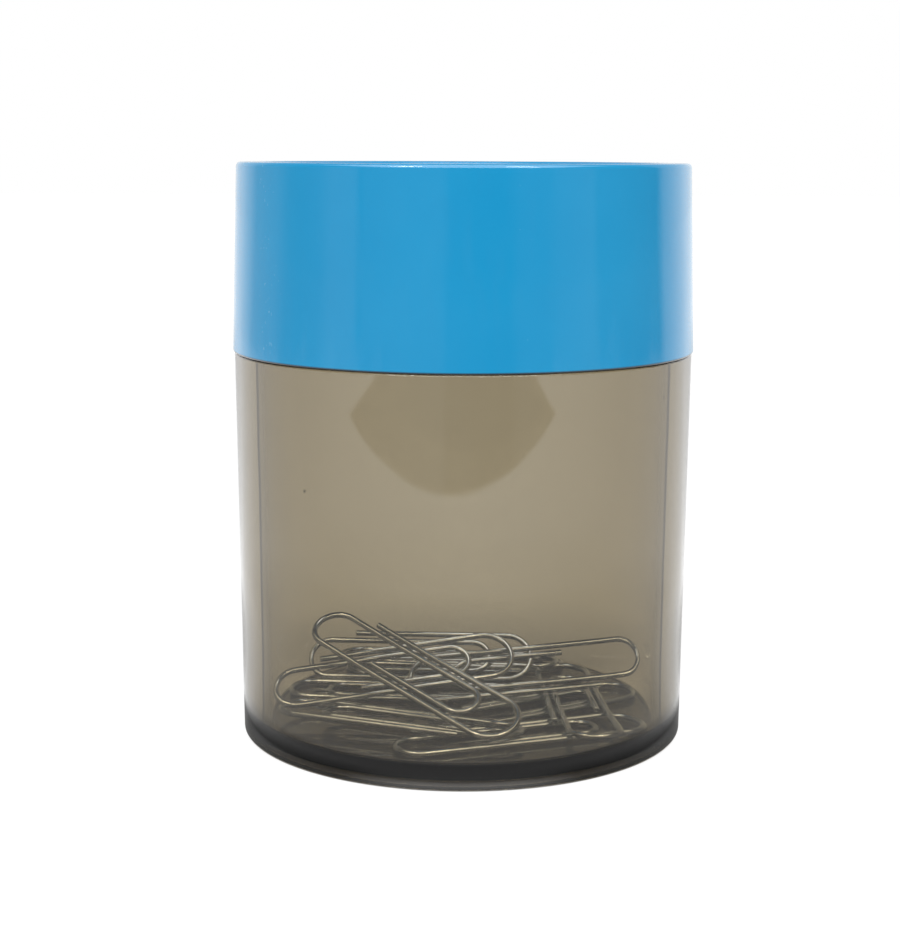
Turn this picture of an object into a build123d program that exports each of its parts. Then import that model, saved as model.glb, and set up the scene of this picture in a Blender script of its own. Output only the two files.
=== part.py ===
from build123d import *

import math
import os

import numpy as np

# Magnetic paper clip holder, in millimetres: the foot's centre is the origin and +Z points up.
# The photographed front faces -Y.

# Cup, the smoke-clear lower part
CUP_HEIGHT = 50.6
CUP_TOP_DIAMETER = 59.6
CUP_TAPER = 0.5
CUP_WALL = 3.5
FLOOR_THICKNESS = 1.8
FLOOR_CORNER = 0.6
FOOT_HEIGHT = 0.8
FOOT_WIDTH = 3.0
FOOT_EDGE = 0.4
GATE_DIAMETER = 4.0
GATE_HEIGHT = 0.3
NECK_HEIGHT = 9.0
NECK_WALL = 1.95
NECK_EDGE = 0.4
SEAM_EDGE = 0.25

# Lid, the blue cap with its dished top and mouth
LID_HEIGHT = 24.1
LID_OVERHANG = 0.2
LID_TAPER = 0.75
LID_WALL = 1.6
LID_FIT = 0.08
LID_EDGE = 0.55
NECK_ROOM = 0.5
RIM_WIDTH = 3.2
DISH_EDGE = 0.6
DISH_DEPTH = 8.5
MOUTH_DIAMETER = 22.0
MOUTH_EDGE = 1.0
COLLAR_WALL = 1.4
COLLAR_PROUD = 0.4
RIB_COUNT = 6
RIB_THICKNESS = 1.2
RIB_ROOM = 0.5

# Magnet and the ring that holds it under the dish
MAGNET_DIAMETER = 40.2
MAGNET_THICKNESS = 5.0
MAGNET_CHAMFER = 0.4
MAGNET_FIT = 0.2
SEAT_WIDTH = 1.0
SEAT_DROP = 0.4
POCKET_WALL = 1.4
POCKET_ROOM = 0.3
RETAINER_THICKNESS = 1.6
RETAINER_LIP_HEIGHT = 3.0
RETAINER_LIP_WALL = 1.4
RETAINER_FIT = 0.08
SNAP_RADIUS = 0.35
SNAP_HEIGHT = 1.6

# Paper clips: bent steel wire with three bends
CLIP_LENGTH = 33.0
CLIP_WIDTH = 8.0
CLIP_WIRE = 0.8
CLIP_LANE = 1.25
CLIP_INNER_STOP = 6.0
CLIP_OUTER_TAIL = 6.5
CLIP_INNER_TAIL = 11.0
CLIP_END_EDGE = 0.12
CLIP_GAP = 0.06
CLIP_SAMPLE = 0.15

# Where each clip lies, in the order they were laid: its centre's x and y in chamber radii, then
# yaw, pitch and roll in degrees. Pitch lifts the clip's big-bend end, and roll lifts its tail side.
CLIP_PLACES = [
    (-0.04, 0.66, 182, 0, 0),
    (-0.33, 0.16, 176, 0, 0),
    (0.34, -0.60, 20, 0, 0),
    (0.39, -0.09, 30, 0, 0),
    (0.60, -0.10, 92, 0, 0),
    (-0.31, -0.46, 158, 0, 3),
    (-0.18, 0.66, 174, 0, 0),
    (-0.34, 0.48, -3, 0, 42),
    (0.42, 0.08, 183, -5, -38),
    (-0.42, -0.10, 14, 5, 34),
    (-0.24, -0.38, -37, -17, 22),
]

# Levels and radii that follow from the sizes above
floor_top = FOOT_HEIGHT + FLOOR_THICKNESS
seam_level = CUP_HEIGHT
neck_top = seam_level + NECK_HEIGHT
cup_top_radius = CUP_TOP_DIAMETER / 2
cup_base_radius = cup_top_radius - CUP_TAPER
cup_draft = CUP_TAPER / CUP_HEIGHT
chamber_base_radius = cup_base_radius - CUP_WALL + cup_draft * floor_top
chamber_top_radius = cup_top_radius - CUP_WALL + cup_draft * NECK_HEIGHT
neck_radius = cup_top_radius - CUP_WALL + NECK_WALL

lid_top = seam_level + LID_HEIGHT
lid_radius = cup_top_radius + LID_OVERHANG
lid_top_radius = lid_radius - LID_TAPER
bore_radius = neck_radius + LID_FIT
bore_top = neck_top + NECK_ROOM
skirt_radius = lid_radius - LID_TAPER * (bore_top - seam_level) / LID_HEIGHT - LID_WALL
crown_under = lid_top - LID_WALL
crown_radius = lid_top_radius - LID_WALL

# The dish is part of a sphere from the rim's inner edge down to the mouth
mouth_radius = MOUTH_DIAMETER / 2
dish_rim_radius = lid_top_radius - RIM_WIDTH
mouth_top = lid_top - DISH_DEPTH
dish_centre = (lid_top + mouth_top) / 2 + (dish_rim_radius**2 - mouth_radius**2) / (2 * DISH_DEPTH)
dish_sphere = math.hypot(dish_rim_radius, dish_centre - lid_top)


def dish_point(radius, depth):
    """Profile point on the dish's surface, or a depth below it, at a radius."""
    return (radius, dish_centre - math.sqrt((dish_sphere + depth) ** 2 - radius**2))


collar_radius = mouth_radius + COLLAR_WALL
seat_inner_radius = collar_radius + SEAT_WIDTH
magnet_inner_radius = collar_radius + MAGNET_FIT
magnet_radius = MAGNET_DIAMETER / 2
pocket_inner_radius = magnet_radius + MAGNET_FIT
seat_outer_radius = pocket_inner_radius - SEAT_WIDTH
pocket_radius = pocket_inner_radius + POCKET_WALL
magnet_top = dish_point(collar_radius, LID_WALL)[1] - SEAT_DROP
magnet_bottom = magnet_top - MAGNET_THICKNESS
retainer_bottom = magnet_bottom - RETAINER_THICKNESS
collar_bottom = retainer_bottom - COLLAR_PROUD
lip_inner_radius = pocket_radius + RETAINER_FIT
lip_radius = lip_inner_radius + RETAINER_LIP_WALL
lip_top = magnet_bottom + RETAINER_LIP_HEIGHT
snap_level = magnet_bottom + SNAP_HEIGHT
dish_under_radius = math.sqrt((dish_sphere + LID_WALL) ** 2 - (dish_centre - crown_under) ** 2)
rib_bottom = max(bore_top, lip_top) + RIB_ROOM


def corner(profile, point):
    """The profile's corner nearest to a point."""
    return profile.vertices().sort_by_distance(point)[0]


def dish_arc(start_radius, end_radius, depth):
    """Arc of the dish between two radii, a depth below its surface."""
    middle_radius = (start_radius + end_radius) / 2
    ThreePointArc(
        dish_point(start_radius, depth),
        dish_point(middle_radius, depth),
        dish_point(end_radius, depth),
    )


def save(piece, name):
    """Labels a finished piece and writes its file."""
    piece.part.label = name
    export_step(piece.part, f"parts/{name}.step")


os.makedirs("parts", exist_ok=True)

# Cup: wall, floor, foot ring and the neck that the lid slides over
with BuildPart() as cup:
    with BuildSketch(Plane.XZ) as cup_profile:
        with BuildLine():
            Polyline(
                (0, floor_top),
                (chamber_base_radius, floor_top),
                (chamber_top_radius, neck_top),
                (neck_radius, neck_top),
                (neck_radius, seam_level),
                (cup_top_radius, seam_level),
                (cup_base_radius, 0),
                (cup_base_radius - FOOT_WIDTH, 0),
                (cup_base_radius - FOOT_WIDTH, FOOT_HEIGHT),
                (GATE_DIAMETER / 2, FOOT_HEIGHT),
                (GATE_DIAMETER / 2, FOOT_HEIGHT - GATE_HEIGHT),
                (0, FOOT_HEIGHT - GATE_HEIGHT),
                close=True,
            )
        make_face()
        fillet(corner(cup_profile, (chamber_base_radius, floor_top)), FLOOR_CORNER)
        fillet(corner(cup_profile, (cup_base_radius, 0)), FOOT_EDGE)
        fillet(corner(cup_profile, (neck_radius, neck_top)), NECK_EDGE)
        fillet(corner(cup_profile, (cup_top_radius, seam_level)), SEAM_EDGE)
    revolve(axis=Axis.Z)
save(cup, "cup")

# Lid: skirt, rim, dish, mouth collar and the pocket for the magnet
with BuildPart() as lid:
    with BuildSketch(Plane.XZ) as lid_profile:
        with BuildLine():
            Polyline(
                (mouth_radius, mouth_top),
                (mouth_radius, collar_bottom),
                (collar_radius, collar_bottom),
                (collar_radius, magnet_top),
                (seat_inner_radius, magnet_top),
                dish_point(seat_inner_radius, LID_WALL),
            )
            dish_arc(seat_inner_radius, seat_outer_radius, LID_WALL)
            Polyline(
                dish_point(seat_outer_radius, LID_WALL),
                (seat_outer_radius, magnet_top),
                (pocket_inner_radius, magnet_top),
                (pocket_inner_radius, magnet_bottom + POCKET_ROOM),
                (pocket_radius, magnet_bottom + POCKET_ROOM),
                dish_point(pocket_radius, LID_WALL),
            )
            dish_arc(pocket_radius, dish_under_radius, LID_WALL)
            Polyline(
                (dish_under_radius, crown_under),
                (crown_radius, crown_under),
                (skirt_radius, bore_top),
                (bore_radius, bore_top),
                (bore_radius, seam_level),
                (lid_radius, seam_level),
                (lid_top_radius, lid_top),
                (dish_rim_radius, lid_top),
            )
            dish_arc(dish_rim_radius, mouth_radius, 0)
        make_face()
        fillet(corner(lid_profile, (lid_top_radius, lid_top)), LID_EDGE)
        fillet(corner(lid_profile, (dish_rim_radius, lid_top)), DISH_EDGE)
        fillet(corner(lid_profile, (mouth_radius, mouth_top)), MOUTH_EDGE)
        fillet(corner(lid_profile, (lid_radius, seam_level)), SEAM_EDGE)
        with Locations((pocket_radius, snap_level)):
            Circle(SNAP_RADIUS)
    revolve(axis=Axis.Z)
    rib_planes = []
    for rib in range(RIB_COUNT):
        turn = 2 * math.pi * rib / RIB_COUNT
        outward = (math.cos(turn), math.sin(turn), 0)
        sideways = (math.sin(turn), -math.cos(turn), 0)
        rib_planes.append(Plane(origin=(0, 0, 0), x_dir=outward, z_dir=sideways))
    with BuildSketch(*rib_planes):
        with BuildLine():
            dish_arc(pocket_radius - POCKET_WALL / 2, dish_under_radius, LID_WALL / 2)
            Polyline(
                dish_point(dish_under_radius, LID_WALL / 2),
                (crown_radius + LID_WALL / 2, crown_under),
                (skirt_radius, rib_bottom),
                (pocket_radius - POCKET_WALL / 2, rib_bottom),
                dish_point(pocket_radius - POCKET_WALL / 2, LID_WALL / 2),
            )
        make_face()
    extrude(amount=RIB_THICKNESS / 2, both=True)
save(lid, "lid")

# Magnet: a ferrite ring around the mouth collar
with BuildPart() as magnet_ring:
    with BuildSketch(Plane.XZ) as magnet_profile:
        with BuildLine():
            Polyline(
                (magnet_inner_radius, magnet_bottom),
                (magnet_radius, magnet_bottom),
                (magnet_radius, magnet_top),
                (magnet_inner_radius, magnet_top),
                close=True,
            )
        make_face()
        chamfer(magnet_profile.vertices(), MAGNET_CHAMFER)
    revolve(axis=Axis.Z)
save(magnet_ring, "magnet_ring")

# Retainer: a plate under the magnet with a lip that snaps over the pocket's wall
with BuildPart() as magnet_retainer:
    with BuildSketch(Plane.XZ) as retainer_profile:
        with BuildLine():
            Polyline(
                (collar_radius + RETAINER_FIT, retainer_bottom),
                (lip_radius, retainer_bottom),
                (lip_radius, lip_top),
                (lip_inner_radius, lip_top),
                (lip_inner_radius, magnet_bottom),
                (collar_radius + RETAINER_FIT, magnet_bottom),
                close=True,
            )
        make_face()
        fillet(corner(retainer_profile, (lip_radius, retainer_bottom)), RETAINER_LIP_WALL / 2)
        with Locations((pocket_radius, snap_level)):
            Circle(SNAP_RADIUS + RETAINER_FIT, mode=Mode.SUBTRACT)
    revolve(axis=Axis.Z)
save(magnet_retainer, "magnet_retainer")

# One paper clip, flat and centred: outer tail, big bend, long side, end bend, inner bend, inner tail
half_length = (CLIP_LENGTH - CLIP_WIRE) / 2
outer_lane = (CLIP_WIDTH - CLIP_WIRE) / 2
inner_lane = outer_lane - CLIP_LANE
end_bend_radius = (outer_lane + inner_lane) / 2
big_bend_x = half_length - outer_lane
end_bend_x = end_bend_radius - half_length
inner_bend_x = half_length - CLIP_INNER_STOP - inner_lane
with BuildPart() as clip_form:
    with BuildLine() as clip_line:
        Line((CLIP_OUTER_TAIL - half_length, outer_lane), (big_bend_x, outer_lane))
        CenterArc((big_bend_x, 0), outer_lane, 90, -180)
        Line((big_bend_x, -outer_lane), (end_bend_x, -outer_lane))
        CenterArc((end_bend_x, (inner_lane - outer_lane) / 2), end_bend_radius, -90, -180)
        Line((end_bend_x, inner_lane), (inner_bend_x, inner_lane))
        CenterArc((inner_bend_x, 0), inner_lane, 90, -180)
        Line((inner_bend_x, -inner_lane), (CLIP_INNER_TAIL - half_length, -inner_lane))
    clip_wire = clip_line.wire()
    with BuildSketch(Plane(origin=clip_wire @ 0, z_dir=clip_wire % 0)):
        Circle(CLIP_WIRE / 2)
    sweep()
    fillet(clip_form.faces().filter_by(GeomType.PLANE).edges(), CLIP_END_EDGE)

# Points along the clip's centre line, for laying the pile
sample_count = int(clip_wire.length / CLIP_SAMPLE)
clip_points = np.array([tuple(clip_wire @ (step / sample_count)) for step in range(sample_count + 1)])
wire_spacing = CLIP_WIRE + CLIP_GAP
pile_floor = floor_top + CLIP_WIRE / 2 + CLIP_GAP
pile_reach = chamber_base_radius - max(FLOOR_CORNER, CLIP_WIRE / 2) - CLIP_GAP


def clip_axes(yaw, pitch, roll):
    """Rotation whose columns are the clip's long, cross and upward directions."""
    turn, rise, lean = (math.radians(angle) for angle in (yaw, pitch, roll))
    about_z = [[math.cos(turn), -math.sin(turn), 0], [math.sin(turn), math.cos(turn), 0], [0, 0, 1]]
    about_y = [[math.cos(rise), 0, -math.sin(rise)], [0, 1, 0], [math.sin(rise), 0, math.cos(rise)]]
    about_x = [[1, 0, 0], [0, math.cos(lean), -math.sin(lean)], [0, math.sin(lean), math.cos(lean)]]
    return np.array(about_z) @ np.array(about_y) @ np.array(about_x)


def pull_inside(points):
    """Sideways shift that brings every point within the chamber's wall."""
    shift = np.zeros(2)
    for _ in range(200):
        plan = points[:, :2] + shift
        reach = np.hypot(plan[:, 0], plan[:, 1])
        farthest = reach.argmax()
        over = reach[farthest] - pile_reach
        if over <= 0:
            break
        shift -= plan[farthest] * over / reach[farthest]
    return shift


def lowest_rest(points, laid):
    """Height at which the points rest on the floor, or on the clips already laid, as low as they fit."""
    rest = pile_floor - points[:, 2].min()
    blocked = []
    for other in laid:
        apart = (points[:, None, :2] - other[None, :, :2]) ** 2
        apart = apart.sum(axis=2)
        mine, theirs = np.nonzero(apart < wire_spacing**2)
        room = np.sqrt(wire_spacing**2 - apart[mine, theirs])
        level = other[theirs, 2] - points[mine, 2]
        blocked.extend(zip(level - room, level + room))
    for low, high in sorted(blocked):
        if low >= rest:
            break
        rest = max(rest, high)
    return rest


# Paper clips: each is pulled inside the wall and lowered onto the floor and the clips laid before it
laid_clips = []
for number, (x_share, y_share, yaw, pitch, roll) in enumerate(CLIP_PLACES, start=1):
    axes = clip_axes(yaw, pitch, roll)
    centre = chamber_base_radius * np.array([x_share, y_share])
    points = clip_points @ axes.T
    points[:, :2] += centre
    sideways = pull_inside(points)
    points[:, :2] += sideways
    rest = lowest_rest(points, laid_clips)
    points[:, 2] += rest
    laid_clips.append(points)
    place = Plane(
        origin=(*(centre + sideways), rest),
        x_dir=tuple(axes[:, 0]),
        z_dir=tuple(axes[:, 2]),
    )
    with BuildPart(place) as clip:
        add(clip_form.part)
    save(clip, f"clip_{number:02d}")

print("magnet from", round(magnet_bottom, 2), "to", round(magnet_top, 2))
print("mouth collar from", round(collar_bottom, 2), "to", round(mouth_top, 2))
print("clip pile up to", round(max(points[:, 2].max() for points in laid_clips) + CLIP_WIRE / 2, 2))
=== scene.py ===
import math

import bmesh
import bpy
from bpy.props import FloatProperty, FloatVectorProperty, IntProperty, PointerProperty
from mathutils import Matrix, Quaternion, Vector


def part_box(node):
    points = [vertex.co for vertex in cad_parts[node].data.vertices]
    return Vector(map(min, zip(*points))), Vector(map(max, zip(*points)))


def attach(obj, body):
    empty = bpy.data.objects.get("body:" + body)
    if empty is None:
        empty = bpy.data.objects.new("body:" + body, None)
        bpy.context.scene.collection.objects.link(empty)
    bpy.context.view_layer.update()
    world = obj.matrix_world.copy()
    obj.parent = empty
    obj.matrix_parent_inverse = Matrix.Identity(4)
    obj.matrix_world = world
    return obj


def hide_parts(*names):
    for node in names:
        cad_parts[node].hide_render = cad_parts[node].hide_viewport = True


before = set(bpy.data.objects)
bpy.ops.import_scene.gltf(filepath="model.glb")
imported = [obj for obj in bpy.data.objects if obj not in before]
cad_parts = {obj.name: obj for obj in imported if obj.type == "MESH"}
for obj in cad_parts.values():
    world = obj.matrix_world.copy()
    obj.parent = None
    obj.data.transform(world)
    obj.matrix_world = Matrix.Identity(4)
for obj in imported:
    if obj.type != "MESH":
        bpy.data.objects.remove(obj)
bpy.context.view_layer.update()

bl_info = {
    "name": "Paper clip holder",
    "version": (1, 0, 0),
    "blender": (4, 5, 0),
    "location": "3D View > Sidebar > Clip Holder",
    "description": "Models a round clip holder with a smoke-clear cup, a blue lid and loose wire clips",
    "category": "Object",
}

# How finely round pieces are turned
RING_SIDES = 192
DISH_STEPS = 14
SOFT_EDGE_STEPS = 5
BEAD_STEPS = 6
WIRE_SIDES = 16
BEND_STEPS = 24
WIRE_END_STEPS = 3

# The angle up to which faces are shaded as one, and the distance in metres up to which points touch
SMOOTH_ANGLE = math.radians(35)
TOUCH = 1e-6


def length(label, note, default):
    """A length in metres that the user can change."""
    return FloatProperty(name=label, description=note, default=default, unit="LENGTH", precision=5)


def colour(label, note, default):
    """A linear colour that the user can change."""
    return FloatVectorProperty(name=label, description=note, default=default, size=3, subtype="COLOR")


def amount(label, note, default):
    """A plain number that the user can change."""
    return FloatProperty(name=label, description=note, default=default, precision=4)


class CupSizes(bpy.types.PropertyGroup):
    """Sizes of the smoke-clear cup."""

    height: length("Height", "Level of the seam under the lid", 0.0506)
    top_radius: length("Top radius", "Outer radius at the seam", 0.0298)
    taper: length("Taper", "How much narrower the wall is at the foot", 0.0005)
    wall: length("Wall", "Thickness of the wall", 0.0035)
    floor: length("Floor", "Thickness of the floor", 0.0018)
    floor_corner: length("Floor corner", "Rounding between the floor and the wall", 0.0006)
    foot_height: length("Foot height", "How far the floor stands above the desk", 0.0008)
    foot_width: length("Foot width", "Width of the foot ring", 0.003)
    foot_edge: length("Foot edge", "Rounding of the foot's outer edge", 0.0004)
    gate_radius: length("Gate radius", "Radius of the moulding mark under the floor", 0.002)
    gate_height: length("Gate height", "How far the moulding mark stands out", 0.0003)
    neck_height: length("Neck height", "Height of the neck inside the lid", 0.009)
    neck_wall: length("Neck wall", "Thickness of the neck", 0.00195)
    neck_edge: length("Neck edge", "Rounding of the neck's outer edge", 0.0004)
    seam_edge: length("Seam edge", "Rounding of the wall's edge at the seam", 0.00025)
    fine_edge: length("Fine edge", "Softening of the edges that the mould leaves sharp", 0.00012)


class LidSizes(bpy.types.PropertyGroup):
    """Sizes of the blue lid."""

    height: length("Height", "Height from the seam to the rim", 0.0241)
    overhang: length("Overhang", "How far the lid stands proud of the cup", 0.0002)
    taper: length("Taper", "How much narrower the lid is at its rim", 0.00075)
    wall: length("Wall", "Thickness of the skirt and the dish", 0.0016)
    fit: length("Fit", "Gap between the neck and the lid", 0.00008)
    top_edge: length("Top edge", "Rounding of the outer edge at the rim", 0.00055)
    neck_room: length("Neck room", "Gap above the neck", 0.0005)
    rim_width: length("Rim width", "Width of the flat rim", 0.0032)
    dish_depth: length("Dish depth", "Depth from the rim to the mouth", 0.0085)
    dish_edge: length("Dish edge", "Softening between the rim and the dish", 0.00025)
    mouth_radius: length("Mouth radius", "Radius of the hole that the clips leave through", 0.011)
    mouth_edge: length("Mouth edge", "Rounding of the mouth", 0.00075)
    collar_wall: length("Collar wall", "Thickness of the collar below the mouth", 0.0014)
    collar_proud: length("Collar proud", "How far the collar stands below the retainer", 0.0004)
    seat_width: length("Seat width", "Width of the ledges above the magnet", 0.001)
    pocket_wall: length("Pocket wall", "Thickness of the wall around the magnet", 0.0014)
    pocket_room: length("Pocket room", "Gap below the wall around the magnet", 0.0003)
    magnet_fit: length("Magnet fit", "Gap around the magnet", 0.0002)
    snap_radius: length("Snap radius", "Radius of the bead that holds the retainer", 0.00035)
    snap_height: length("Snap height", "Level of the bead above the magnet's lower side", 0.0016)
    rib_thickness: length("Rib thickness", "Thickness of each rib under the crown", 0.0012)
    rib_room: length("Rib room", "Gap below the ribs", 0.0005)
    rib_count: IntProperty(name="Ribs", description="Ribs under the crown", default=6, min=1)


class ClipSizes(bpy.types.PropertyGroup):
    """Sizes of one paper clip."""

    length: length("Length", "Length over the bends", 0.033)
    width: length("Width", "Width over the wires", 0.008)
    wire: length("Wire", "Diameter of the wire", 0.0008)
    lane: length("Lane", "Distance between neighbouring wires", 0.00125)
    inner_stop: length("Inner stop", "How far the inner bend stays behind the big bend", 0.006)
    outer_tail: length("Outer tail", "How far the outer tail stays behind the end bend", 0.0065)
    inner_tail: length("Inner tail", "How far the inner tail stays behind the end bend", 0.011)
    end_edge: length("End edge", "Rounding of the cut ends", 0.00012)


class Finishes(bpy.types.PropertyGroup):
    """Colours of the finishes."""

    smoke: colour("Smoke", "Light that the clear plastic keeps", (0.459, 0.384, 0.19))
    smoke_depth: amount("Smoke depth", "Absorption per metre of the clear plastic", 317.0)
    smoke_surface: colour("Smoke surface", "Clean surface of the clear plastic", (1.0, 0.995, 0.985))
    smoke_shadow: colour("Smoke shadow", "Lamp light that passes the clear plastic", (0.93, 0.92, 0.9))
    speck: colour("Speck", "Dust and specks on the clear plastic", (0.15, 0.14, 0.12))
    blue: colour("Blue", "Blue moulding", (0.012, 0.31, 0.61))
    blue_light: colour("Light blue", "Blue moulding where it is lighter", (0.018, 0.335, 0.64))
    blue_worn: colour("Worn blue", "Blue moulding where it is worn", (0.16, 0.5, 0.75))
    ferrite: colour("Ferrite", "Sintered magnet", (0.035, 0.035, 0.038))
    black: colour("Black", "Matt retainer", (0.02, 0.02, 0.022))
    steel: colour("Steel", "Plated wire", (0.54, 0.57, 0.61))
    # Painted shade: a dark tone that stands in for the shadow in the gap at the seam
    painted_seam_shade: colour("Grime", "Dirt along the seam", (0.01, 0.013, 0.015))


class Studio(bpy.types.PropertyGroup):
    """Camera and floor of the stage."""

    camera_back: length("Camera distance", "How far the camera stands in front", 0.24219)
    camera_height: length("Camera height", "Height of the camera", 0.07613)
    camera_dip: FloatProperty(
        name="Camera dip",
        description="How far the camera looks down",
        default=math.radians(9.938),
        subtype="ANGLE",
    )
    camera_roll: FloatProperty(
        name="Camera roll", description="Turn about the view", default=0.0042, subtype="ANGLE"
    )
    camera_lens: amount("Lens", "Focal length in millimetres", 70.06)
    camera_sensor: amount("Sensor", "Width of the sensor in millimetres", 36.0)
    camera_shift: amount("Shift", "Sideways shift of the view", -0.01332)
    camera_near: length("Nearest", "Nearest distance that the camera sees", 0.01)
    camera_far: length("Farthest", "Farthest distance that the camera sees", 20.0)
    floor_half: length("Floor half width", "Half the width of the floor", 3.0)


class HolderSettings(bpy.types.PropertyGroup):
    """All settings of the clip holder."""

    cup: PointerProperty(type=CupSizes)
    lid: PointerProperty(type=LidSizes)
    clip: PointerProperty(type=ClipSizes)
    finishes: PointerProperty(type=Finishes)
    studio: PointerProperty(type=Studio)


# Yaw, pitch and roll of each clip in degrees, as in the CAD source. The clip's node in model.glb gives
# its place.
CLIP_TURNS = {
    "clip_01": (182, 0, 0),
    "clip_02": (176, 0, 0),
    "clip_03": (20, 0, 0),
    "clip_04": (30, 0, 0),
    "clip_05": (92, 0, 0),
    "clip_06": (158, 0, 3),
    "clip_07": (174, 0, 0),
    "clip_08": (-3, 0, 42),
    "clip_09": (183, -5, -38),
    "clip_10": (14, 5, 34),
    "clip_11": (-37, -17, 22),
}

# Dark specks on the cup's wall: place and radius in metres. The core is the darkest share of the radius.
CUP_SPECKS = (
    (-0.0191, -0.0227, 0.0356, 0.0003),
    (0.0247, -0.0166, 0.0464, 0.00035),
)
SPECK_CORE = 0.4
SPECK_COVER = 0.9

# Brightness of the tent that reflections see, by degrees from its back: left is below 0, right above.
# The front is open and dim, a lit panel hangs at each side, and the back is brightest.
TENT_LEVELS = (
    (-180, 0.1),
    (-173, 0.1),
    (-170, 0.32),
    (-131, 0.36),
    (-129, 0.2),
    (-126, 0.68),
    (-113, 0.68),
    (-106, 0.4),
    (-95, 0.27),
    (-86, 0.3),
    (-76, 0.6),
    (-56, 0.62),
    (-49, 1.0),
    (-38, 1.22),
    (-20, 1.1),
    (0, 0.8),
    (20, 1.2),
    (38, 1.42),
    (52, 1.3),
    (64, 1.0),
    (70, 0.19),
    (111, 0.2),
    (115, 0.48),
    (134, 0.36),
    (138, 0.2),
    (153, 0.2),
    (158, 0.02),
    (174, 0.04),
    (180, 0.1),
)

# Brightness of the sheet in front of the cup, by metres from the cup's axis
FRONT_LEVELS = (
    (0.03, 1.2),
    (0.0312, 2.0),
    (0.0318, 2.0),
    (0.0326, 0.55),
    (0.038, 0.45),
    (0.0395, 0.85),
    (0.115, 0.85),
    (0.125, 1.07),
    (0.172, 1.42),
    (0.2, 1.5),
)

# Each ramp below holds the start and the end of a value, and the levels at them.

# The sheet that reflections see. Reach is metres from the cup's axis. Heading is -1 straight in front
# of the cup, 0 beside it and 1 straight behind. Behind is heading less a shift that grows with reach,
# so that it stays about the same along an upright line of the wall.
SIDE_HEADING = (-0.3, 0.5, 1.33, 1.42)
SIDE_SHARE_HEADING = (-0.5, -0.1, 0, 1)
BEHIND_SHIFT_REACH = (0.035, 0.1, -0.2, 0.25)
EDGE_BEHIND = (0.55, 0.68, 1, 0.6)
LIT_BEHIND = (0, 0.3, 0, 1)
LIT_NEAR_REACH = (0.035, 0.09, 0.75, 1)
DIM_NEAR_REACH = (0.035, 0.14, 0.45, 1)
# Painted shade on the sheet round the cup's foot, except straight in front
FOOT_SHADE_REACH = (0.0326, 0.036, 0.8, 0)
FOOT_SHADE_HEADING = (-0.98, -0.85, 0, 1)
THROUGH_CUP = (0, 1, 1, 0.65)
SHEET_END_REACH = (0.5, 0.7, 1, 0)

# The dark beyond the sheet's slanting front edge, by metres along Y and X
FRONT_EDGE_Y = (-0.212, -0.204, 1, 0)
FRONT_EDGE_SLANT = 0.1
FRONT_LEFT_X = (-0.262, -0.25, 0, 1)
FRONT_RIGHT_X = (0.212, 0.224, 1, 0)

# The dim gap at each side that shows as a line in the cup's wall: where its rays start, and its degrees
GAP_X = 0.0285
GAP_Y = -0.008
GAP_START = (43.5, 44.5, 0, 0.85)
GAP_END = (46, 47.5, 1, 0.3)

# The sheet that the eye sees: its glow, its shade behind the cup, its tones, of which the dark one under
# the cup is painted shade, and where the cup hides it
SHOWN_LEVEL = 0.95
SHADE_REACH = (0.036, 0.072, 0.46, 0)
SHADE_HEADING = (0.5, 0.8, 0, 1)
SHADOW_TONE = 0.12
UNDER_CUP_SHADE_TONE = 0.12
SHEET_TONE = 0.85
FOOT_RIM = (0.0289, 0.0293)

# The room: soft light for all, the tent's fall with height, and a panel high behind the holder
SOFT_LIGHT = 0.67
TENT_RISE = (0.15, 0.6, 1, 0.35)
PANEL_X = (0.55, 0.75, 4.5, 0)
PANEL_Y = (0.25, 0.05, 0, 1)
PANEL_Z = (0.35, 0.45, 0, 1)

# Lamps: turn from the front and rise in degrees, distance, width and height in metres, power in watts
LAMPS = {
    "left_key": (-35, 50, 0.6, 0.12, 0.12, 0.85),
    "right_key": (35, 50, 0.6, 0.12, 0.12, 0.8),
}
LAMP_AIM = Vector((0, 0, 0.04))

# The span of a grain's values that a finish uses, smaller where its patches have harder edges
GRAIN_SPAN = (0.3, 0.7)
PATCH_SPAN = (0.35, 0.65)

# Grain of the matt finishes: how its lightest tone follows from the base, and its span of roughness
GRAIN_GAIN = 1.6
GRAIN_LIFT = 0.01
GRAIN_SMOOTHER = 0.08
GRAIN_ROUGHER = 0.12

# Share of the steel's tone that its dull patches have
DULL_STEEL = 0.85

# Worn spots on the lid: the patch along X that has more of them, and the grain's values that are worn
WORN_LEFT_X = (-0.0255, -0.0245, 0, 0.13)
WORN_RIGHT_X = (-0.0235, -0.0215, 1, 0)
WORN_GRAIN = (0.79, 0.83, 0, 0.6)

# Painted shade on the lid along the seam, standing in for the shadow in the gap: where it begins to fade
# and where it ends, in metres above the seam
SEAM_SHADE_FADE = 0.00016
SEAM_SHADE_END = 0.00034

# Refraction of the clear plastic, and of the other plastics and the ferrite
CLEAR_INDEX = 1.55
OPAQUE_INDEX = 1.5


# Modelling helpers


def clear_selection():
    """Leaves edit mode and deselects every object, so that the next operator acts on its own piece."""
    if bpy.context.object and bpy.context.object.mode != "OBJECT":
        bpy.ops.object.mode_set(mode="OBJECT")
    bpy.ops.object.select_all(action="DESELECT")


def name_piece(name):
    """Names the active object and its mesh."""
    piece = bpy.context.object
    piece.name = name
    piece.data.name = name
    return piece


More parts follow.
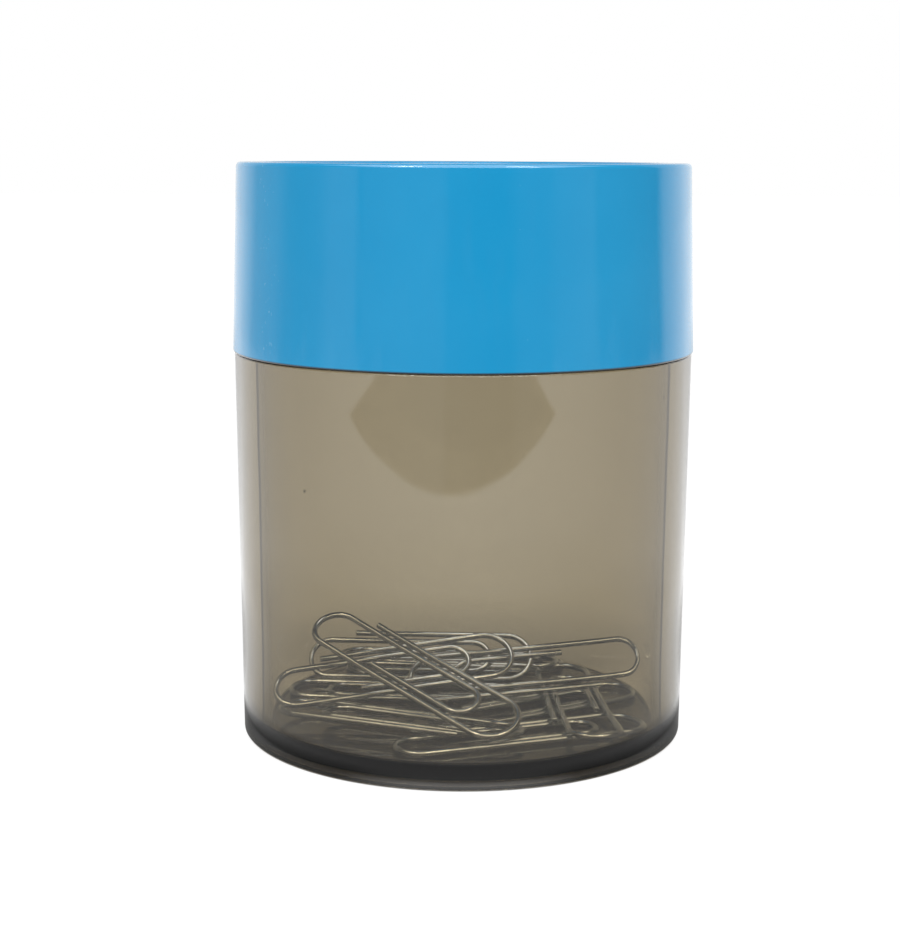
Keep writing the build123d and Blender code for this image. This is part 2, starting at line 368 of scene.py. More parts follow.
def turned_shell(name, rings):
    """Extrudes a circle from ring to ring, each a radius and a level, and stays in edit mode."""
    clear_selection()
    radius, level = rings[0]
    bpy.ops.mesh.primitive_circle_add(vertices=RING_SIDES, radius=radius, location=(0, 0, level))
    piece = name_piece(name)
    bpy.ops.object.transform_apply(location=True, rotation=False, scale=False)
    bpy.ops.object.mode_set(mode="EDIT")
    bpy.ops.mesh.select_all(action="SELECT")
    for next_radius, next_level in rings[1:]:
        rise = (0, 0, next_level - level)
        bpy.ops.mesh.extrude_edges_move(TRANSFORM_OT_translate={"value": rise})
        spread = next_radius / radius
        bpy.ops.transform.resize(value=(spread, spread, 1), center_override=(0, 0, next_level))
        radius, level = next_radius, next_level
    return piece


def select_rings(piece, rings):
    """Selects the edges that run round a piece at the given radii and levels."""
    bpy.ops.mesh.select_mode(type="EDGE")
    bpy.ops.mesh.select_all(action="DESELECT")
    mesh = bmesh.from_edit_mesh(piece.data)
    for edge in mesh.edges:
        for radius, level in rings:
            if all(
                abs(math.hypot(vert.co.x, vert.co.y) - radius) < 2 * TOUCH
                and abs(vert.co.z - level) < 2 * TOUCH
                for vert in edge.verts
            ):
                edge.select_set(True)
    bmesh.update_edit_mesh(piece.data)


def soften_rings(piece, rings, width):
    """Rounds the edges that run round a piece at the given rings."""
    select_rings(piece, rings)
    bpy.ops.mesh.bevel(offset=width, segments=SOFT_EDGE_STEPS, affect="EDGES")


def close_mesh():
    """Merges doubled points, turns the faces outwards and leaves edit mode."""
    bpy.ops.mesh.select_all(action="SELECT")
    bpy.ops.mesh.remove_doubles(threshold=TOUCH)
    bpy.ops.mesh.normals_make_consistent(inside=False)
    bpy.ops.object.mode_set(mode="OBJECT")


def smooth_faces(piece):
    """Shades the round faces smoothly and keeps the flat ones flat."""
    bpy.ops.object.shade_smooth_by_angle(angle=SMOOTH_ANGLE)
    even = piece.modifiers.new("even_normals", "WEIGHTED_NORMAL")
    even.keep_sharp = True
    bpy.ops.object.modifier_apply(modifier=even.name)


def finish_piece(piece, material, body, slot, *nodes):
    """Gives a piece its material, its body and the nodes that it stands for. The slot is not used."""
    piece.data.materials.clear()
    piece.data.materials.append(material)
    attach(piece, body)
    if nodes:
        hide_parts(*nodes)


# Shader helpers


def new_shader(name):
    """A new material with an empty node tree and its output."""
    material = bpy.data.materials.new(name)
    material.use_nodes = True
    material.node_tree.nodes.clear()
    output = put(material.node_tree, "ShaderNodeOutputMaterial")
    return material, material.node_tree, output


def feed(tree, socket, value):
    """Links another node's result to an input, or sets the input to a plain value."""
    if isinstance(value, bpy.types.NodeSocket):
        tree.links.new(value, socket)
    else:
        socket.default_value = value


def put(tree, kind, settings=None, **values):
    """Adds a node, with its properties from settings and its inputs by socket name."""
    node = tree.nodes.new(kind)
    for name, value in (settings or {}).items():
        setattr(node, name, value)
    for name, value in values.items():
        feed(tree, node.inputs[name.replace("_", " ")], value)
    return node


def opaque(tint):
    """A colour with full cover, as colour inputs take it."""
    return (*tint, 1)


def reckon(tree, operation, first, second=0):
    """One step of arithmetic on one or two values, and its result."""
    node = put(tree, "ShaderNodeMath", {"operation": operation})
    for socket, value in zip(node.inputs, (first, second)):
        feed(tree, socket, value)
    return node.outputs["Value"]


def times(tree, first, *others):
    """The product of several values."""
    for other in others:
        first = reckon(tree, "MULTIPLY", first, other)
    return first


def one_minus(tree, share):
    """What a share leaves of the whole."""
    return reckon(tree, "SUBTRACT", 1, share)


def ramp(tree, value, start, end, low, high):
    """Maps a value from start to end onto levels from low to high, and holds them beyond."""
    span = {"From_Min": start, "From_Max": end, "To_Min": low, "To_Max": high}
    return put(tree, "ShaderNodeMapRange", Value=value, **span).outputs["Result"]


def stepped(tree, value, stops):
    """Level that follows a value through listed stops, each a value and its level."""
    first, last = stops[0][0], stops[-1][0]
    peak = max(level for place, level in stops)
    node = put(tree, "ShaderNodeValToRGB", Fac=ramp(tree, value, first, last, 0, 1))
    steps = node.color_ramp.elements
    for place, level in stops[1:-1]:
        steps.new((place - first) / (last - first))
    for step, (place, level) in zip(steps, stops):
        step.position = (place - first) / (last - first)
        step.color = (level / peak, level / peak, level / peak, 1)
    return times(tree, node.outputs["Color"], peak)


def blend(tree, share, first, second):
    """A value that goes from the first to the second as the share goes from 0 to 1."""
    node = put(tree, "ShaderNodeMix", {"data_type": "FLOAT"}, Factor=share, A=first, B=second)
    return node.outputs["Result"]


def blend_colours(tree, share, first, second):
    """A colour that goes from the first to the second as the share goes from 0 to 1."""
    node = put(tree, "ShaderNodeMix", {"data_type": "RGBA"}, Factor=share, A=first, B=second)
    return next(socket for socket in node.outputs if socket.type == "RGBA")


def blend_shaders(tree, share, first, second):
    """A shader that goes from the first to the second as the share goes from 0 to 1."""
    node = put(tree, "ShaderNodeMixShader", Fac=share)
    feed(tree, node.inputs[1], first)
    feed(tree, node.inputs[2], second)
    return node.outputs["Shader"]


def parts_of(tree, vector):
    """The X, Y and Z of a vector, by name."""
    return put(tree, "ShaderNodeSeparateXYZ", Vector=vector).outputs


def own_place(tree):
    """The shaded point in the piece's own coordinates."""
    return put(tree, "ShaderNodeTexCoord").outputs["Object"]


def grain(tree, scale, detail, stretch=(1, 1, 1)):
    """Noise on the piece's own coordinates, about one grain in each 1 / scale metres."""
    mapping = put(tree, "ShaderNodeMapping", Vector=own_place(tree), Scale=stretch)
    noise = put(tree, "ShaderNodeTexNoise", Vector=mapping.outputs["Vector"], Scale=scale, Detail=detail)
    return noise.outputs["Fac"]


def bump(tree, height, strength, distance):
    """The surface's direction with the bumps of a grain."""
    node = put(tree, "ShaderNodeBump", Height=height, Strength=strength, Distance=distance)
    return node.outputs["Normal"]


# Finishes


def smoke_plastic(finishes):
    """Clear plastic with a brown smoke tint, faint scuffs and a few specks."""
    material, tree, output = new_shader("smoke_plastic")
    scuffs = grain(tree, scale=900, detail=6, stretch=(1, 1, 0.12))
    flow = grain(tree, scale=60, detail=2)
    dust = grain(tree, scale=650, detail=1)
    dirt = ramp(tree, dust, start=0.5, end=0.9, low=0, high=0.02)
    place = own_place(tree)
    for x, y, z, radius in CUP_SPECKS:
        apart = put(tree, "ShaderNodeVectorMath", {"operation": "DISTANCE"})
        feed(tree, apart.inputs[0], place)
        feed(tree, apart.inputs[1], (x, y, z))
        speck = ramp(tree, apart.outputs["Value"], SPECK_CORE * radius, radius, SPECK_COVER, 0)
        dirt = reckon(tree, "MAXIMUM", dirt, speck)
    glass = put(
        tree,
        "ShaderNodeBsdfPrincipled",
        IOR=CLEAR_INDEX,
        Transmission_Weight=1.0,
        Base_Color=blend_colours(tree, dirt, opaque(finishes.smoke_surface), opaque(finishes.speck)),
        Roughness=ramp(tree, scuffs, start=0.52, end=0.8, low=0, high=0.06),
        Normal=bump(tree, flow, strength=0.05, distance=0.0004),
    )
    clear = put(tree, "ShaderNodeBsdfTransparent", Color=opaque(finishes.smoke_shadow))
    shadow = put(tree, "ShaderNodeLightPath").outputs["Is Shadow Ray"]
    surface = blend_shaders(tree, shadow, glass.outputs["BSDF"], clear.outputs["BSDF"])
    smoke = put(
        tree,
        "ShaderNodeVolumeAbsorption",
        Color=opaque(finishes.smoke),
        Density=finishes.smoke_depth,
    )
    feed(tree, output.inputs["Surface"], surface)
    feed(tree, output.inputs["Volume"], smoke.outputs["Volume"])
    return material


def blue_plastic(finishes, seam):
    """Glossy blue moulding with a soft mottle, scratches, small worn spots and painted shade along the
    seam.
    """
    material, tree, output = new_shader("blue_plastic")
    parts = parts_of(tree, own_place(tree))
    mottle = grain(tree, scale=55, detail=3)
    scratches = grain(tree, scale=700, detail=5, stretch=(1, 1, 0.15))
    spots = grain(tree, scale=2600, detail=2, stretch=(1, 1, 0.7))
    peel = grain(tree, scale=420, detail=3)
    tone = ramp(tree, mottle, *GRAIN_SPAN, 0, 1)
    paint = blend_colours(tree, tone, opaque(finishes.blue), opaque(finishes.blue_light))
    patch = times(tree, ramp(tree, parts["X"], *WORN_LEFT_X), ramp(tree, parts["X"], *WORN_RIGHT_X))
    worn = ramp(tree, reckon(tree, "ADD", spots, patch), *WORN_GRAIN)
    paint = blend_colours(tree, worn, paint, opaque(finishes.blue_worn))
    # Painted shade along the seam, darkest at the seam and fading above it
    painted_seam_shade = ramp(tree, parts["Z"], seam + SEAM_SHADE_FADE, seam + SEAM_SHADE_END, 1, 0)
    gloss = put(
        tree,
        "ShaderNodeBsdfPrincipled",
        IOR=OPAQUE_INDEX,
        Base_Color=blend_colours(tree, painted_seam_shade, paint, opaque(finishes.painted_seam_shade)),
        Roughness=ramp(tree, scratches, start=0.45, end=0.75, low=0.06, high=0.18),
        Normal=bump(tree, peel, strength=0.04, distance=0.0002),
    )
    feed(tree, output.inputs["Surface"], gloss.outputs["BSDF"])
    return material


def grainy(name, base, roughness, scale, depth):
    """A matt finish with a fine grain in its tone, its roughness and its surface."""
    material, tree, output = new_shader(name)
    grains = grain(tree, scale, detail=4)
    tone = ramp(tree, grains, *GRAIN_SPAN, 0, 1)
    lighter = tuple(min(1.0, part * GRAIN_GAIN + GRAIN_LIFT) for part in base)
    matt = put(
        tree,
        "ShaderNodeBsdfPrincipled",
        IOR=OPAQUE_INDEX,
        Base_Color=blend_colours(tree, tone, opaque(base), opaque(lighter)),
        Roughness=ramp(tree, grains, *GRAIN_SPAN, roughness - GRAIN_SMOOTHER, roughness + GRAIN_ROUGHER),
        Normal=bump(tree, grains, strength=0.35, distance=depth),
    )
    feed(tree, output.inputs["Surface"], matt.outputs["BSDF"])
    return material


def clip_steel(finishes):
    """Plated steel wire with drawing marks and slightly dull patches."""
    material, tree, output = new_shader("clip_steel")
    patches = grain(tree, scale=380, detail=4)
    marks = grain(tree, scale=5200, detail=3)
    tone = ramp(tree, patches, *PATCH_SPAN, 0, 1)
    dull = tuple(part * DULL_STEEL for part in finishes.steel)
    metal = put(
        tree,
        "ShaderNodeBsdfPrincipled",
        Metallic=1.0,
        Base_Color=blend_colours(tree, tone, opaque(dull), opaque(finishes.steel)),
        Roughness=ramp(tree, patches, *PATCH_SPAN, low=0.16, high=0.08),
        Normal=bump(tree, marks, strength=0.04, distance=0.00004),
    )
    feed(tree, output.inputs["Surface"], metal.outputs["BSDF"])
    return material


# Stage


def ray_kinds(tree):
    """Values of 1 for rays that the eye follows, for reflected ones and for those through the cup."""
    path = put(tree, "ShaderNodeLightPath").outputs
    through = path["Is Transmission Ray"]
    direct = reckon(tree, "MAXIMUM", path["Is Camera Ray"], through)
    eye = reckon(tree, "MAXIMUM", direct, path["Is Glossy Ray"])
    reflected = reckon(tree, "GREATER_THAN", path["Glossy Depth"], 0.5)
    return eye, reflected, through


def tent_light(tree, x, y):
    """Brightness of the tent in the direction of x and y."""
    turn = reckon(tree, "DEGREES", reckon(tree, "ARCTAN2", x, y))
    return stepped(tree, turn, TENT_LEVELS)


def sheet_light(tree, x, y, reach, through):
    """Brightness of the sheet that reflections see, with its front edge and its dim gaps."""
    heading = reckon(tree, "DIVIDE", y, reach)
    behind = reckon(tree, "SUBTRACT", heading, ramp(tree, reach, *BEHIND_SHIFT_REACH))
    dim_near = ramp(tree, reach, *DIM_NEAR_REACH)
    lit_near = ramp(tree, reach, *LIT_NEAR_REACH)
    near = blend(tree, ramp(tree, behind, *LIT_BEHIND), dim_near, lit_near)
    beside = times(tree, ramp(tree, heading, *SIDE_HEADING), ramp(tree, behind, *EDGE_BEHIND), near)
    before = stepped(tree, reach, FRONT_LEVELS)
    sheet = blend(tree, ramp(tree, heading, *SIDE_SHARE_HEADING), before, beside)
    # Painted shade that dims the sheet round the cup's foot
    foot_shade = times(tree, ramp(tree, reach, *FOOT_SHADE_REACH), ramp(tree, heading, *FOOT_SHADE_HEADING))
    sheet = times(tree, sheet, one_minus(tree, foot_shade), ramp(tree, through, *THROUGH_CUP))

    edge = reckon(tree, "ADD", y, times(tree, x, FRONT_EDGE_SLANT))
    beyond = ramp(tree, edge, *FRONT_EDGE_Y)
    dark = times(tree, beyond, ramp(tree, x, *FRONT_LEFT_X), ramp(tree, x, *FRONT_RIGHT_X))
    share = times(tree, ramp(tree, reach, *SHEET_END_REACH), one_minus(tree, dark))
    level = blend(tree, share, tent_light(tree, x, y), sheet)

    across = reckon(tree, "SUBTRACT", reckon(tree, "ABSOLUTE", x), GAP_X)
    along = reckon(tree, "SUBTRACT", y, GAP_Y)
    turn = reckon(tree, "DEGREES", reckon(tree, "ARCTAN2", across, along))
    gap = times(tree, ramp(tree, turn, *GAP_START), ramp(tree, turn, *GAP_END), through)
    return times(tree, level, one_minus(tree, gap))


def shown_light(tree, y, reach, through):
    """Brightness of the sheet that the eye sees, with its soft shade behind the cup, seen through it."""
    heading = reckon(tree, "DIVIDE", y, reach)
    shade = times(tree, ramp(tree, reach, *SHADE_REACH), ramp(tree, heading, *SHADE_HEADING), through)
    return times(tree, one_minus(tree, shade), SHOWN_LEVEL)


def pale_floor():
    """Pale sheet that shows as white and lies in shade under the cup, deepened there by a painted dark
    tone.
    """
    material, tree, output = new_shader("pale_floor")
    place = own_place(tree)
    parts = parts_of(tree, place)
    distance = put(tree, "ShaderNodeVectorMath", {"operation": "LENGTH"})
    feed(tree, distance.inputs[0], place)
    reach = distance.outputs["Value"]
    eye, reflected, through = ray_kinds(tree)
    shown_level = shown_light(tree, parts["Y"], reach, through)
    sheet_level = sheet_light(tree, parts["X"], parts["Y"], reach, through)
    level = blend(tree, reflected, shown_level, sheet_level)
    glow = put(tree, "ShaderNodeEmission", Color=(1, 1, 1, 1), Strength=level)
    shadow = put(tree, "ShaderNodeBsdfDiffuse", Color=(SHADOW_TONE, SHADOW_TONE, SHADOW_TONE, 1))
    shown = put(tree, "ShaderNodeAddShader")
    feed(tree, shown.inputs[0], shadow.outputs["BSDF"])
    feed(tree, shown.inputs[1], glow.outputs["Emission"])
    # Under the cup the sheet takes a dark tone: painted shade on top of the shade that the cup casts
    matt = put(tree, "ShaderNodeBsdfDiffuse", Color=ramp(tree, reach, *FOOT_RIM, UNDER_CUP_SHADE_TONE, SHEET_TONE))
    outside = times(tree, eye, ramp(tree, reach, *FOOT_RIM, 0, 1))
    surface = blend_shaders(tree, outside, matt.outputs["BSDF"], shown.outputs["Shader"])
    feed(tree, output.inputs["Surface"], surface)
    return material


# Pieces


class CLIPHOLDER_OT_smoke_cup(bpy.types.Operator):
    """Model the clear cup with its foot, floor and neck"""

    bl_idname = "clip_holder.smoke_cup"
    bl_label = "Smoke cup"

    def execute(self, context):
        settings = context.scene.clip_holder
        cup = settings.cup
        base_radius = cup.top_radius - cup.taper
        draft = cup.taper / cup.height
        floor_top = cup.foot_height + cup.floor
        neck_top = cup.height + cup.neck_height
        foot_inner = base_radius - cup.foot_width
        neck_radius = cup.top_radius - cup.wall + cup.neck_wall
        gate = (cup.gate_radius, cup.foot_height - cup.gate_height)
        foot_inside = (foot_inner, 0)
        foot_outside = (base_radius, 0)
        shoulder = (cup.top_radius, cup.height)
        neck_outside = (neck_radius, neck_top)
        neck_inside = (cup.top_radius - cup.wall + draft * cup.neck_height, neck_top)
        floor_edge = (base_radius - cup.wall + draft * floor_top, floor_top)
        rings = [
            gate,
            (cup.gate_radius, cup.foot_height),
            (foot_inner, cup.foot_height),
            foot_inside,
            foot_outside,
            shoulder,
            (neck_radius, cup.height),
            neck_outside,
            neck_inside,
            floor_edge,
        ]
        piece = turned_shell("smoke_cup", rings)
        bpy.ops.mesh.edge_face_add()
        select_rings(piece, [gate])
        bpy.ops.mesh.edge_face_add()
        soften_rings(piece, [floor_edge], cup.floor_corner)
        soften_rings(piece, [foot_outside], cup.foot_edge)
        soften_rings(piece, [neck_outside], cup.neck_edge)
        soften_rings(piece, [shoulder], cup.seam_edge)
        soften_rings(piece, [foot_inside, neck_inside], cup.fine_edge)
        close_mesh()
        smooth_faces(piece)
        finish_piece(piece, smoke_plastic(settings.finishes), "cup", "smoke_plastic", "cup")
        return {"FINISHED"}


class CLIPHOLDER_OT_blue_lid(bpy.types.Operator):
    """Model the blue lid with its dish, mouth, magnet pocket and ribs"""

    bl_idname = "clip_holder.blue_lid"
    bl_label = "Blue lid"

    def execute(self, context):
        settings = context.scene.clip_holder
        cup = settings.cup
        lid = settings.lid
        seam = cup.height
        top = seam + lid.height
        radius = cup.top_radius + lid.overhang
        top_radius = radius - lid.taper
        bore_radius = cup.top_radius - cup.wall + cup.neck_wall + lid.fit
        bore_top = seam + cup.neck_height + lid.neck_room
        skirt_radius = radius - lid.taper * (bore_top - seam) / lid.height - lid.wall
        crown_under = top - lid.wall
        crown_radius = top_radius - lid.wall
        rim_radius = top_radius - lid.rim_width
        mouth_top = top - lid.dish_depth
        rise = (rim_radius**2 - lid.mouth_radius**2) / (2 * lid.dish_depth)
        dish_centre = (top + mouth_top) / 2 + rise
        dish_sphere = math.hypot(rim_radius, dish_centre - top)

        def dish(at_radius, depth):
            """Ring on the dish, or a depth below it, at a radius."""
            reach = dish_sphere + depth
            return (at_radius, dish_centre - math.sqrt(reach**2 - at_radius**2))

        def dish_rings(start, end, depth, steps):
            """Rings along the dish between two radii."""
            return [dish(start + (end - start) * step / steps, depth) for step in range(steps + 1)]

        magnet_low, magnet_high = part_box("magnet_ring")
        retainer_low, retainer_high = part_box("magnet_retainer")
        collar_bottom = retainer_low.z - lid.collar_proud
        collar_radius = lid.mouth_radius + lid.collar_wall
        seat_inner = collar_radius + lid.seat_width
        pocket_inner = magnet_high.x + lid.magnet_fit
        seat_outer = pocket_inner - lid.seat_width
        pocket_radius = pocket_inner + lid.pocket_wall
        pocket_bottom = magnet_low.z + lid.pocket_room
        under_radius = math.sqrt((dish_sphere + lid.wall) ** 2 - (dish_centre - crown_under) ** 2)
        bead_level = magnet_low.z + lid.snap_height
        bead_turns = [math.pi * (step / BEAD_STEPS - 0.5) for step in range(BEAD_STEPS + 1)]
        bead = [
            (
                pocket_radius + lid.snap_radius * math.cos(turn),
                bead_level + lid.snap_radius * math.sin(turn),
            )
            for turn in bead_turns
        ]
        outer_edge = (top_radius, top)
        rim_edge = (rim_radius, top)
        mouth_edge = dish(lid.mouth_radius, 0)
        seam_edge = (radius, seam)
        collar_edge = (lid.mouth_radius, collar_bottom)
        rings = [
            collar_edge,
            (collar_radius, collar_bottom),
            (collar_radius, magnet_high.z),
            (seat_inner, magnet_high.z),
            *dish_rings(seat_inner, seat_outer, lid.wall, DISH_STEPS // 2),
            (seat_outer, magnet_high.z),
            (pocket_inner, magnet_high.z),
            (pocket_inner, pocket_bottom),
            (pocket_radius, pocket_bottom),
            *bead,
            *dish_rings(pocket_radius, under_radius, lid.wall, DISH_STEPS // 2),
            (crown_radius, crown_under),
            (skirt_radius, bore_top),
            (bore_radius, bore_top),
            (bore_radius, seam),
            seam_edge,
            outer_edge,
            *dish_rings(rim_radius, lid.mouth_radius, 0, DISH_STEPS),
        ]
        piece = turned_shell("blue_lid", rings)
        select_rings(piece, [collar_edge, mouth_edge])
        bpy.ops.mesh.bridge_edge_loops()
        soften_rings(piece, [outer_edge], lid.top_edge)
        soften_rings(piece, [rim_edge], lid.dish_edge)
        soften_rings(piece, [mouth_edge], lid.mouth_edge)
        soften_rings(piece, [seam_edge], cup.seam_edge)
        soften_rings(piece, [collar_edge, (collar_radius, collar_bottom)], cup.fine_edge)
        close_mesh()
        smooth_faces(piece)
        material = blue_plastic(settings.finishes, seam)
        finish_piece(piece, material, "lid", "blue_plastic", "lid")

        # The ribs' ends lie inside the walls that they join
        rib_inner = dish(pocket_radius - lid.pocket_wall / 2, lid.wall / 2)
        rib_outer = (skirt_radius + lid.wall / 4, max(bore_top, retainer_high.z) + lid.rib_room)
        rib_top = dish(under_radius - lid.wall / 4, lid.wall / 2)
        ribs = self.ribs(lid, rib_inner, rib_outer, rib_top)
        finish_piece(ribs, material, "lid", "blue_plastic")
        return {"FINISHED"}

    def ribs(self, lid, inner, outer, top):
        """Upright ribs from the magnet's pocket to the skirt, cut to the slope of the dish."""
        clear_selection()
        reach = outer[0] - inner[0]
        rise = top[1] - outer[1]
        bpy.ops.mesh.primitive_cube_add(
            size=1,
            location=(inner[0] + reach / 2, 0, outer[1] + rise / 2),
            scale=(reach, lid.rib_thickness, rise),
        )
        piece = name_piece("lid_ribs")
        bpy.ops.object.transform_apply(location=True, rotation=False, scale=True)
        bpy.ops.object.mode_set(mode="EDIT")
        bpy.ops.mesh.select_all(action="SELECT")
        slope = Vector((inner[1] - top[1], 0, top[0] - inner[0])).normalized()
        bpy.ops.mesh.bisect(
            plane_co=(inner[0], 0, inner[1]),
            plane_no=slope,
            use_fill=True,
            clear_outer=True,
            threshold=TOUCH,
        )
        bpy.ops.mesh.select_all(action="SELECT")
        copies = lid.rib_count - 1
        span = 2 * math.pi * copies / lid.rib_count
        bpy.ops.mesh.spin(steps=copies, dupli=True, angle=span, center=(0, 0, 0), axis=(0, 0, 1))
        close_mesh()
        return piece


class CLIPHOLDER_OT_magnet_parts(bpy.types.Operator):
    """Finish the magnet and the ring that holds it"""

    bl_idname = "clip_holder.magnet_parts"
    bl_label = "Magnet and retainer"

    def execute(self, context):
        finishes = context.scene.clip_holder.finishes
        ferrite = grainy("ferrite", finishes.ferrite, roughness=0.62, scale=2600, depth=0.00006)
        black = grainy("black_plastic", finishes.black, roughness=0.45, scale=1800, depth=0.00004)
        coats = {"magnet_ring": ferrite, "magnet_retainer": black}
        for node, material in coats.items():
            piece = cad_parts[node]
            piece.data.materials.clear()
            piece.data.materials.append(material)
        return {"FINISHED"}


class CLIPHOLDER_OT_paper_clips(bpy.types.Operator):
    """Model one wire clip and lay a copy in each clip's place"""

    bl_idname = "clip_holder.paper_clips"
    bl_label = "Paper clips"

    def execute(self, context):
        settings = context.scene.clip_holder
        pattern = self.bent_wire(settings.clip)
        material = clip_steel(settings.finishes)
        for node, turn in CLIP_TURNS.items():
            clear_selection()
            pattern.select_set(True)
            context.view_layer.objects.active = pattern
            bpy.ops.object.duplicate()
            piece = name_piece("wire_" + node)
            yaw, pitch, roll = (math.radians(angle) for angle in turn)
            piece.rotation_euler = (roll, -pitch, yaw)
            bpy.ops.object.transform_apply(location=False, rotation=True, scale=False)
            low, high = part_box(node)
            points = [vert.co for vert in piece.data.vertices]
            for axis in range(3):
                reach = [point[axis] for point in points]
                piece.location[axis] = (low[axis] + high[axis] - min(reach) - max(reach)) / 2
            bpy.ops.object.transform_apply(location=True, rotation=False, scale=False)
            finish_piece(piece, material, "clips", "clip_wire", node)
        bpy.data.objects.remove(pattern)
        return {"FINISHED"}

    def bent_wire(self, clip):
        """One flat clip: a wire ring extruded along the straights and spun round the bends."""
        half = (clip.length - clip.wire) / 2
        outer = (clip.width - clip.wire) / 2
        inner = outer - clip.lane
        end_radius = (outer + inner) / 2
        big_bend = half - outer
        end_bend = end_radius - half
        inner_bend = half - clip.inner_stop - inner
        start = clip.outer_tail - half
        clear_selection()
        bpy.ops.mesh.primitive_circle_add(
            vertices=WIRE_SIDES,
            radius=clip.wire / 2,
            location=(start, outer, 0),
            rotation=(0, math.pi / 2, 0),
        )
        piece = name_piece("clip_pattern")
        bpy.ops.object.transform_apply(location=True, rotation=True, scale=False)
        bpy.ops.object.mode_set(mode="EDIT")
        bpy.ops.mesh.select_all(action="SELECT")
        bpy.ops.mesh.edge_face_add()
        self.straight(big_bend - start)
        self.bend(big_bend, 0)
        self.straight(end_bend - big_bend)
        self.bend(end_bend, (inner - outer) / 2)
        self.straight(inner_bend - end_bend)
        self.bend(inner_bend, 0)
        self.straight(clip.inner_tail - half - inner_bend)
        close_mesh()
        bpy.ops.object.mode_set(mode="EDIT")
        self.round_ends(piece, clip)
        bpy.ops.object.mode_set(mode="OBJECT")
        smooth_faces(piece)
        return piece

    def straight(self, run):
        """Draws the selected end of the wire along X."""
        bpy.ops.mesh.extrude_region_move(TRANSFORM_OT_translate={"value": (run, 0, 0)})

    def bend(self, x, y):
        """Bends the selected end of the wire half a turn round a point."""
        bpy.ops.mesh.spin(steps=BEND_STEPS, angle=math.pi, center=(x, y, 0), axis=(0, 0, 1))

    def round_ends(self, piece, clip):
        """Rounds the two cut ends of the wire."""
        bpy.ops.mesh.select_mode(type="FACE")
        bpy.ops.mesh.select_all(action="DESELECT")
        mesh = bmesh.from_edit_mesh(piece.data)
        for face in mesh.faces:
            face.select_set(len(face.verts) == WIRE_SIDES)
        bmesh.update_edit_mesh(piece.data)
        bpy.ops.mesh.region_to_loop()
        bpy.ops.mesh.bevel(offset=clip.end_edge, segments=WIRE_END_STEPS, affect="EDGES")


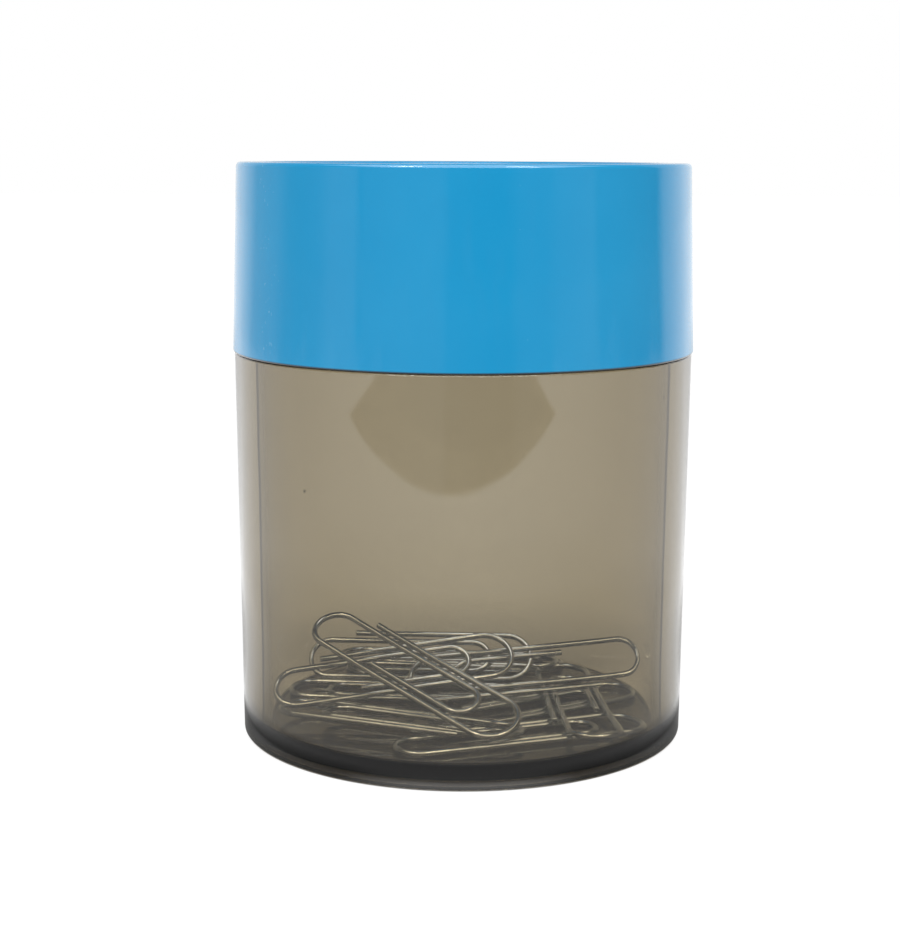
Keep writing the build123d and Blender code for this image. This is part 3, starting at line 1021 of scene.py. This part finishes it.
class CLIPHOLDER_OT_stage(bpy.types.Operator):
    """Set up the pale floor, the light and the camera"""

    bl_idname = "clip_holder.stage"
    bl_label = "Stage"

    def execute(self, context):
        studio = context.scene.clip_holder.studio
        self.lay_floor(studio)
        self.light_world(context.scene)
        self.hang_lamps()
        self.place_camera(context.scene, studio)
        context.scene.view_settings.view_transform = "Standard"
        return {"FINISHED"}

    def lay_floor(self, studio):
        """A wide floor under the holder."""
        clear_selection()
        bpy.ops.mesh.primitive_plane_add(size=2 * studio.floor_half)
        floor = name_piece("pale_floor")
        floor.data.materials.append(pale_floor())

    def light_world(self, scene):
        """A white room for the eye, a tent and a high panel for reflections, and an even soft light."""
        world = bpy.data.worlds.new("studio")
        scene.world = world
        world.use_nodes = True
        tree = world.node_tree
        tree.nodes.clear()
        parts = parts_of(tree, put(tree, "ShaderNodeTexCoord").outputs["Generated"])
        x, y, z = parts["X"], parts["Y"], parts["Z"]
        eye, reflected, _ = ray_kinds(tree)
        tent = times(tree, tent_light(tree, x, y), ramp(tree, z, *TENT_RISE))
        panel = ramp(tree, reckon(tree, "ABSOLUTE", x), *PANEL_X)
        panel = times(tree, panel, ramp(tree, y, *PANEL_Y), ramp(tree, z, *PANEL_Z))
        level = blend(tree, reflected, 1.0, reckon(tree, "ADD", tent, panel))
        soft = put(tree, "ShaderNodeBackground", Color=(1, 1, 1, 1), Strength=SOFT_LIGHT)
        shown = put(tree, "ShaderNodeBackground", Color=(1, 1, 1, 1), Strength=level)
        surface = blend_shaders(tree, eye, soft.outputs["Background"], shown.outputs["Background"])
        put(tree, "ShaderNodeOutputWorld", Surface=surface)

    def hang_lamps(self):
        """The small lamps, all turned to the holder."""
        for name, (turn, rise, distance, width, height, power) in LAMPS.items():
            lamp = bpy.data.lights.new(name, "AREA")
            lamp.shape = "RECTANGLE"
            lamp.size = width
            lamp.size_y = height
            lamp.energy = power
            holder = bpy.data.objects.new(name, lamp)
            turn, rise = math.radians(turn), math.radians(rise)
            out = (math.sin(turn) * math.cos(rise), -math.cos(turn) * math.cos(rise), math.sin(rise))
            holder.location = LAMP_AIM + distance * Vector(out)
            holder.rotation_euler = (-Vector(out)).to_track_quat("-Z", "Y").to_euler()
            holder.visible_camera = False
            bpy.context.scene.collection.objects.link(holder)

    def place_camera(self, scene, studio):
        """The camera of the photograph."""
        camera = bpy.data.cameras.new("camera")
        camera.lens = studio.camera_lens
        camera.sensor_width = studio.camera_sensor
        camera.shift_x = studio.camera_shift
        camera.clip_start = studio.camera_near
        camera.clip_end = studio.camera_far
        holder = bpy.data.objects.new("camera", camera)
        holder.location = (0, -studio.camera_back, studio.camera_height)
        holder.rotation_mode = "QUATERNION"
        dip = Quaternion((1, 0, 0), math.pi / 2 - studio.camera_dip)
        holder.rotation_quaternion = dip @ Quaternion((0, 0, 1), studio.camera_roll)
        scene.collection.objects.link(holder)
        scene.camera = holder


class CLIPHOLDER_PT_panel(bpy.types.Panel):
    """Lists the pieces of the clip holder"""

    bl_idname = "CLIPHOLDER_PT_panel"
    bl_label = "Clip Holder"
    bl_space_type = "VIEW_3D"
    bl_region_type = "UI"
    bl_category = "Clip Holder"

    def draw(self, context):
        for operator in OPERATORS:
            self.layout.operator(operator.bl_idname)


OPERATORS = (
    CLIPHOLDER_OT_smoke_cup,
    CLIPHOLDER_OT_blue_lid,
    CLIPHOLDER_OT_magnet_parts,
    CLIPHOLDER_OT_paper_clips,
    CLIPHOLDER_OT_stage,
)
SETTINGS = (CupSizes, LidSizes, ClipSizes, Finishes, Studio, HolderSettings)
CLASSES = (*SETTINGS, *OPERATORS, CLIPHOLDER_PT_panel)


def register():
    for item in CLASSES:
        bpy.utils.register_class(item)
    bpy.types.Scene.clip_holder = PointerProperty(type=HolderSettings)


def unregister():
    del bpy.types.Scene.clip_holder
    for item in reversed(CLASSES):
        bpy.utils.unregister_class(item)


def main():
    register()
    bpy.ops.clip_holder.smoke_cup()
    bpy.ops.clip_holder.blue_lid()
    bpy.ops.clip_holder.magnet_parts()
    bpy.ops.clip_holder.paper_clips()
    bpy.ops.clip_holder.stage()


if __name__ == "__main__":
    main()
